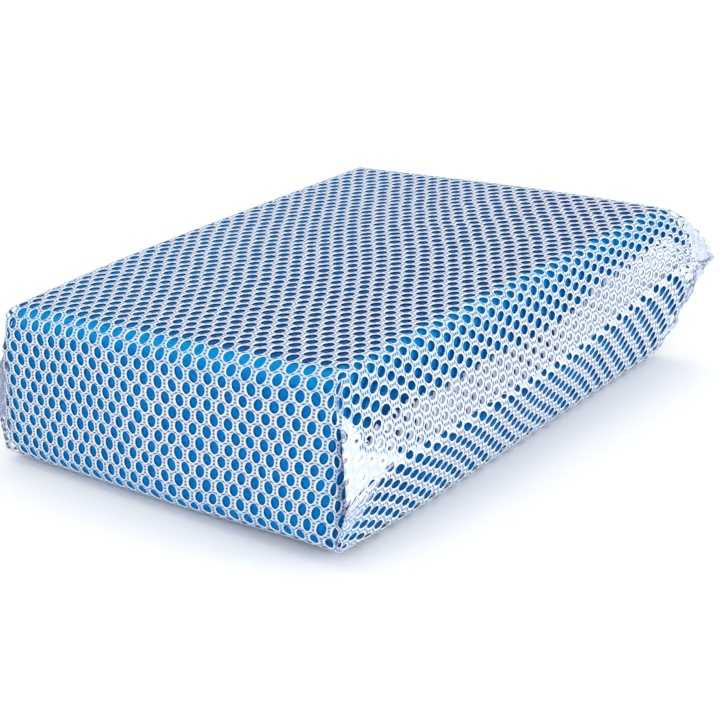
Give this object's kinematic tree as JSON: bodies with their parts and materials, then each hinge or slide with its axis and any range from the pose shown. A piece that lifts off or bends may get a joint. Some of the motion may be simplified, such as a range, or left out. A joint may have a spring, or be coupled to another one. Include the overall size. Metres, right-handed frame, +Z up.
{
  "type": "cleaning sponge",
  "caption": "Rectangular cleaning sponge: a foam block inside a tube of open knitted net, with both ends folded in, sewn and standing out as a blunt wedge.",
  "frame": {"origin": "middle of the flat underside", "axes": "+X along the seams towards the ears, +Y along the tube of net away from the seen end, +Z up"},
  "size_m": [0.1284, 0.0879, 0.0343],
  "materials": {
    "foam": "open-cell foam",
    "net": "knitted",
    "thread": "twisted"
  },
  "bodies": {
    "root": {"foam_block": "foam", "mesh_cover": "net", "front_seam_thread": "thread", "back_seam_thread": "thread"}
  },
  "joints": []
}
